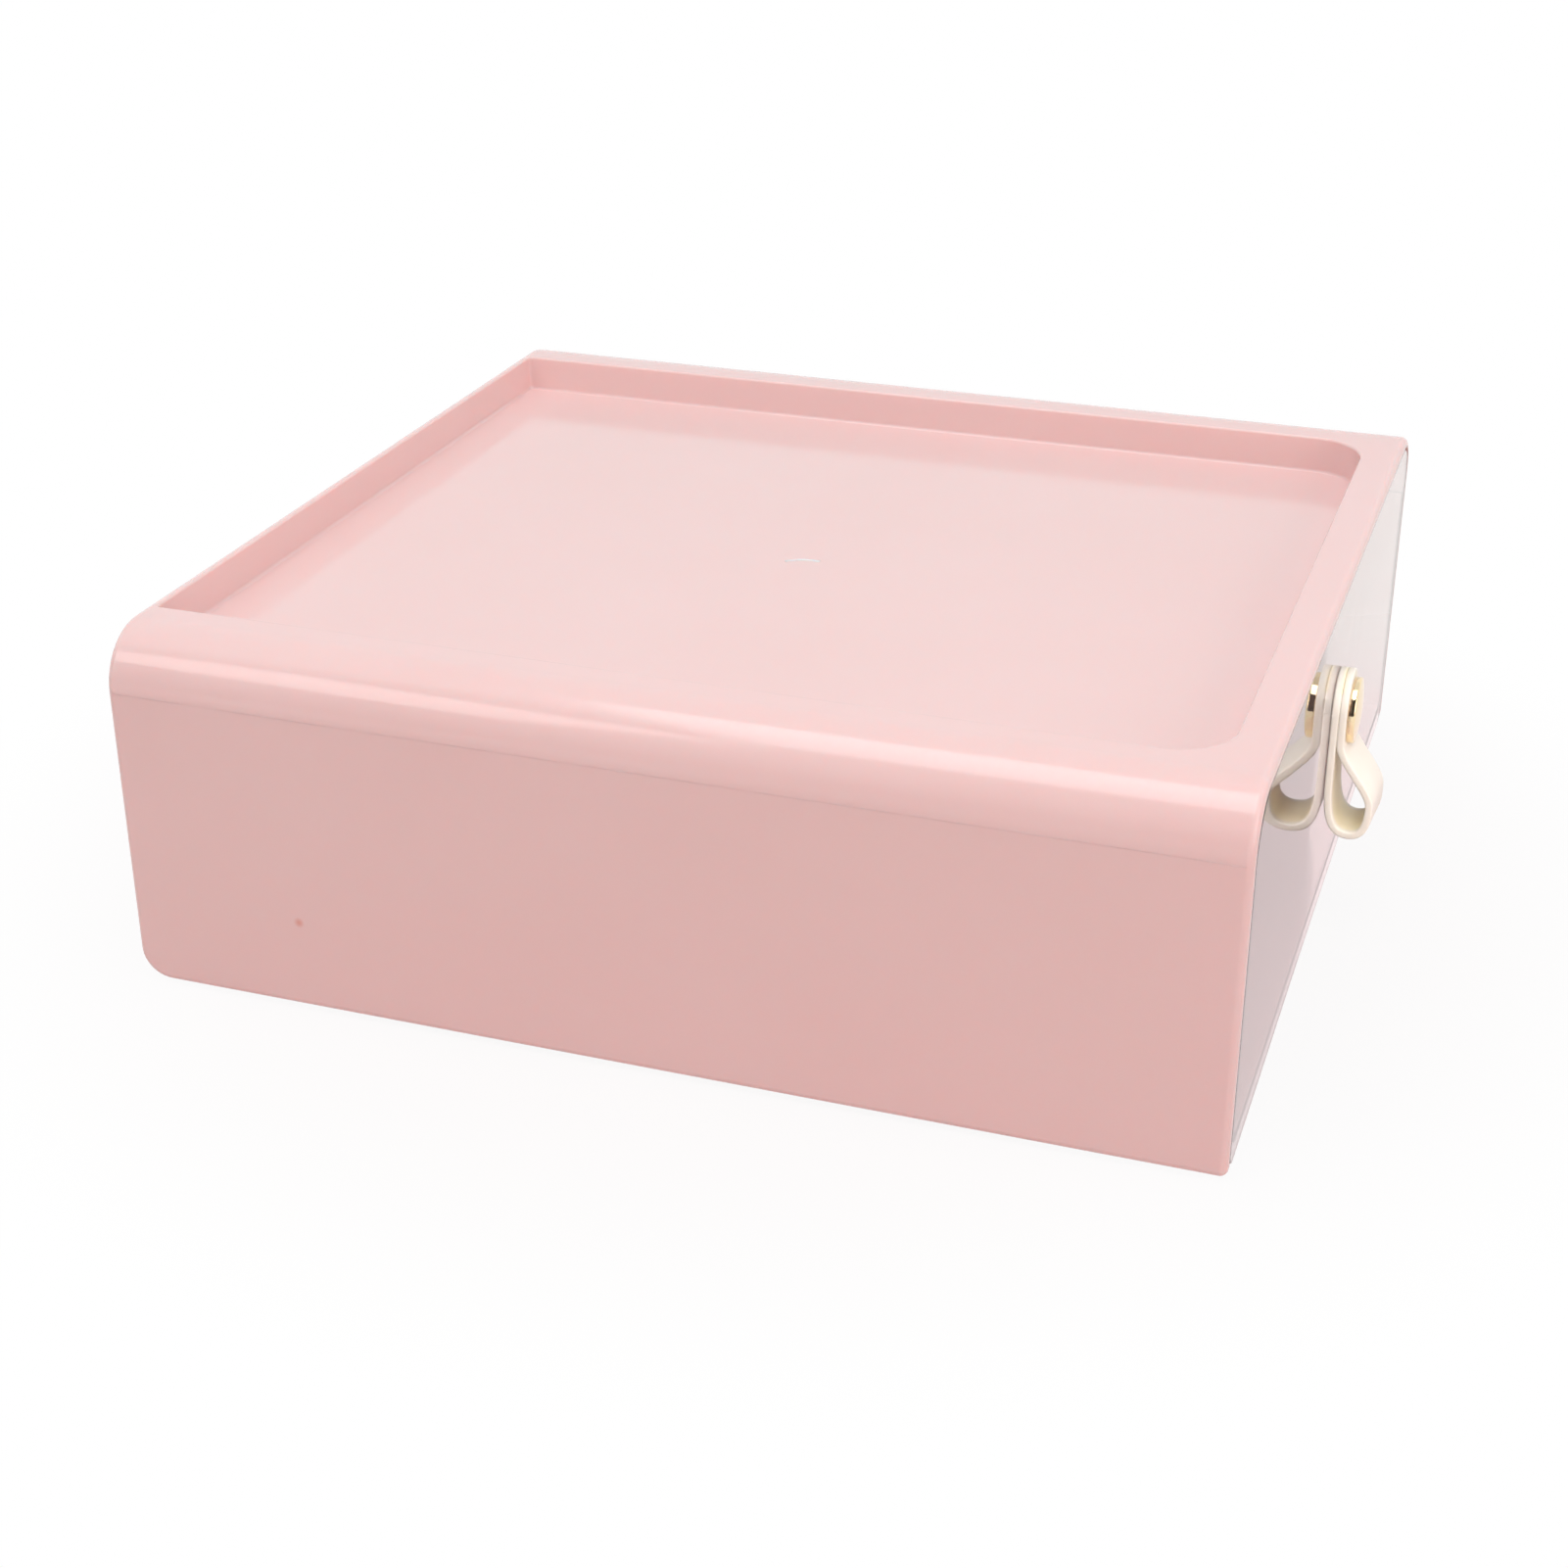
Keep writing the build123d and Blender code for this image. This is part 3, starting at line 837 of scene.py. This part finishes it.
def studio_sky():
    world = bpy.data.worlds.new("studio_sky")
    bpy.context.scene.world = world
    world.use_nodes = True
    tree = world.node_tree
    fill = tree.nodes["Background"]
    fill.inputs["Color"].default_value = WHITE
    fill.inputs["Strength"].default_value = SKY_FILL
    white = add_node(tree, "ShaderNodeBackground", {"Color": WHITE, "Strength": 1.0})
    direction = tree.nodes.new("ShaderNodeTexCoord").outputs["Generated"]
    part = add_node(tree, "ShaderNodeSeparateXYZ", Vector=direction).outputs
    ceiling = spread(tree, part["Z"], 1, CEILING_GREY, *SWEEP_TOP, soft=True)
    room = spread(tree, part["X"], ROOM_DARK, 1, *ROOM_EDGE, soft=True)
    mirrored_strength = worked(tree, "MULTIPLY", ceiling, room)
    mirrored = add_node(tree, "ShaderNodeBackground", {"Color": WHITE}, Strength=mirrored_strength)
    path = tree.nodes.new("ShaderNodeLightPath").outputs
    looked_at = worked(tree, "MAXIMUM", path["Is Camera Ray"], path["Is Transmission Ray"])
    sky = mixed(tree, looked_at, fill.outputs["Background"], white.outputs["Background"])
    sky = mixed(tree, path["Is Glossy Ray"], sky, mirrored.outputs["Background"])
    tree.links.new(sky, tree.nodes["World Output"].inputs["Surface"])


studio_sky()
print("sky fill", SKY_FILL)

# %% [markdown]
# Three soft boxes: a wide one overhead, whose far and near edges draw the bright band along the rounded
# top, and one on each side of the camera, which lift the walls that face it.

# %% Soft boxes
WARM_LAMP = (1.0, 0.88, 0.85)
COOL_LAMP = (0.965, 1.0, 1.02)


def soft_box(name, place, aim, size, power, colour):
    lamp = bpy.data.lights.new(name, "AREA")
    lamp.color = colour
    lamp.shape = "RECTANGLE"
    lamp.size, lamp.size_y = size
    lamp.energy = power
    rig = bpy.data.objects.new(name, lamp)
    rig.location = place
    rig.rotation_euler = (Vector(aim) - Vector(place)).to_track_quat("-Z", "Y").to_euler()
    bpy.context.scene.collection.objects.link(rig)
    print(name, power, "W")
    return rig


box_middle = (0, 0, casing_high.z / 2)
soft_box("overhead_soft_box", place=(-0.32, -0.05, 1.35), aim=box_middle, size=(1.1, 0.85),
         power=9.2, colour=COOL_LAMP)
soft_box("right_soft_box", place=(-0.44, -1.00, 0.42), aim=box_middle, size=(0.7, 0.7),
         power=3.5, colour=WARM_LAMP)
soft_box("left_soft_box", place=(-0.80, 0.62, 0.88), aim=box_middle, size=(0.42, 0.42),
         power=1.8, colour=WARM_LAMP)

# %% [markdown]
# The strap hangs in the lee of the casing, so a small card beside the camera throws light back on it.
# Light linking keeps the card's light on the strap: a bare lamp there would wash out the casing's near
# side.

# %% Card for the strap
CARD_WHITE = (1.0, 0.94, 0.90)
card = soft_box("strap_card", place=(-0.50, -0.25, 0.45), aim=hinge_place, size=(0.3, 0.3),
                power=2.0, colour=CARD_WHITE)
card_lights = bpy.data.collections.new("lit_by_the_card")
card_lights.objects.link(strap)
card.light_linking.receiver_collection = card_lights

# %% [markdown]
# The camera stands where the photograph was taken from: to the left of the front and a little above, close
# enough that the far edges draw together.

# %% Camera
CAMERA_PLACE = (-0.528186, -0.173802, 0.286128)
CAMERA_AZIMUTH = -70.809
CAMERA_ELEVATION = 26.166
CAMERA_ROLL = -0.111
CAMERA_LENS = 58.653
SENSOR = 36.0
NEAREST_SEEN = 0.01
FARTHEST_SEEN = 50.0
camera_data = bpy.data.cameras.new("camera")
camera_data.sensor_width = SENSOR
camera_data.lens = CAMERA_LENS
camera_data.clip_start = NEAREST_SEEN
camera_data.clip_end = FARTHEST_SEEN
camera = bpy.data.objects.new("camera", camera_data)
camera_turn = (Matrix.Rotation(math.radians(CAMERA_AZIMUTH), 3, "Z")
               @ Matrix.Rotation(math.radians(90 - CAMERA_ELEVATION), 3, "X")
               @ Matrix.Rotation(math.radians(CAMERA_ROLL), 3, "Z"))
camera.location = CAMERA_PLACE
camera.rotation_euler = camera_turn.to_euler()
scene = bpy.context.scene
scene.collection.objects.link(camera)
scene.camera = camera
scene.view_settings.view_transform = "Standard"
print("camera", round(Vector(CAMERA_PLACE).length, 3), "m from the origin, lens", CAMERA_LENS, "mm")

# %% [markdown]
# Light that enters a clear plate at its edge runs along inside it, from face to face, and comes out far
# away. Blender stops following it after a few bounces and leaves the edge black, so more are allowed.

# %% Bounces inside clear plastic
PLATE_BOUNCES = 24
scene.cycles.max_bounces = PLATE_BOUNCES
scene.cycles.glossy_bounces = PLATE_BOUNCES
scene.cycles.transmission_bounces = PLATE_BOUNCES
print("light is followed for", PLATE_BOUNCES, "bounces")

# %% [markdown]
# Last, the script tells that it has run to its end.

# %% End
print("done")
